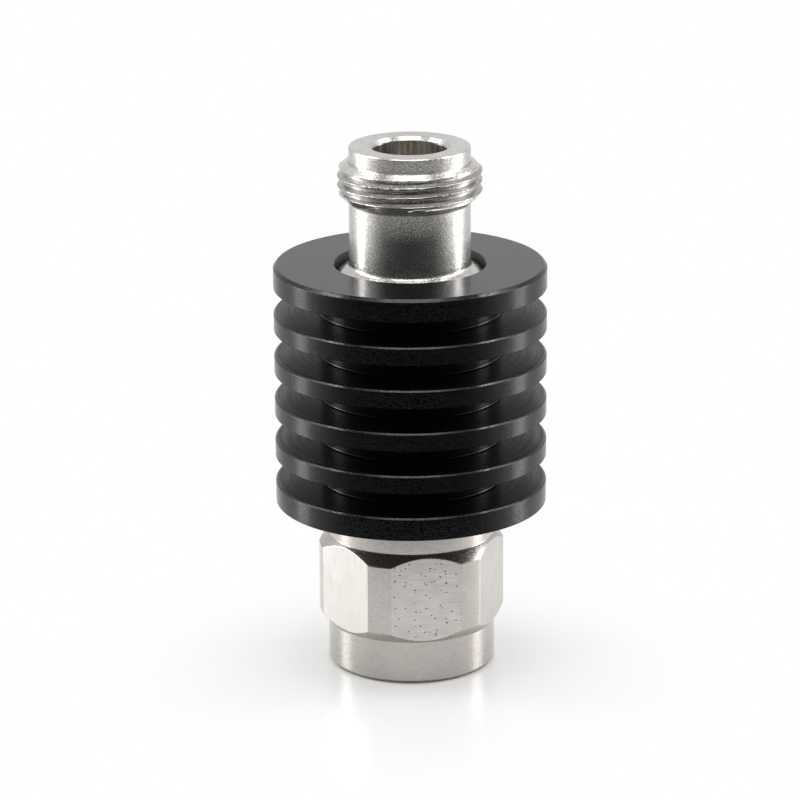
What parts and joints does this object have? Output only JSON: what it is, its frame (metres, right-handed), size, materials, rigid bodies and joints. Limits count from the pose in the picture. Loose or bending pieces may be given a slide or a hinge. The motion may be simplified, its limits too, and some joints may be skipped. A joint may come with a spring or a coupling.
{
  "type": "coaxial attenuator",
  "caption": "Coaxial attenuator with a round finned heat sink, a plug with a turning hexagon nut at one end and a threaded jack at the other.",
  "frame": {"origin": "centre of the coupling nut's front face, on which the part stands", "axes": "+Z along the connector axis from the plug to the jack; -Y faces the picture's camera, +X is its right"},
  "size_m": [0.03, 0.03, 0.0589],
  "materials": {
    "black_anodised": "satin black anodised",
    "nickel_plate": "bright nickel plate over turned brass",
    "nut_steel": "satin, machined",
    "spring_steel": "plain spring steel",
    "gold_plate": "gold plate",
    "white_insulator": "matte white",
    "red_rubber": "matte red silicone",
    "bare_aluminium": "milled",
    "chip_ceramic": "fired white",
    "resistor_ink": "fired black ink",
    "silver_ink": "fired silver ink"
  },
  "bodies": {
    "attenuator": {"heat_sink": "black_anodised", "jack_body": "nickel_plate", "jack_insulator": "white_insulator", "jack_retaining_bush": "nickel_plate", "jack_contact": "gold_plate", "plug_body": "nickel_plate", "plug_outer_contact": "nickel_plate", "plug_insulator": "white_insulator", "plug_retaining_bush": "nickel_plate", "plug_pin": "gold_plate", "plug_gasket": "red_rubber", "nut_snap_ring": "spring_steel", "chip_substrate": "chip_ceramic", "resistor_film": "resistor_ink", "chip_terminals": "silver_ink", "ground_strip_left": "gold_plate", "ground_strip_right": "gold_plate", "input_tab": "gold_plate", "output_tab": "gold_plate", "carrier_rear": "bare_aluminium", "carrier_front": "bare_aluminium", "carrier_screws": "spring_steel"},
    "nut": {"coupling_nut": "nut_steel"}
  },
  "joints": [
    {"name": "nut_spin", "type": "hinge", "parent": "attenuator", "child": "nut", "pos_m": [0, 0, 0.0155], "axis": [0, 0, 1], "continuous": true}
  ]
}
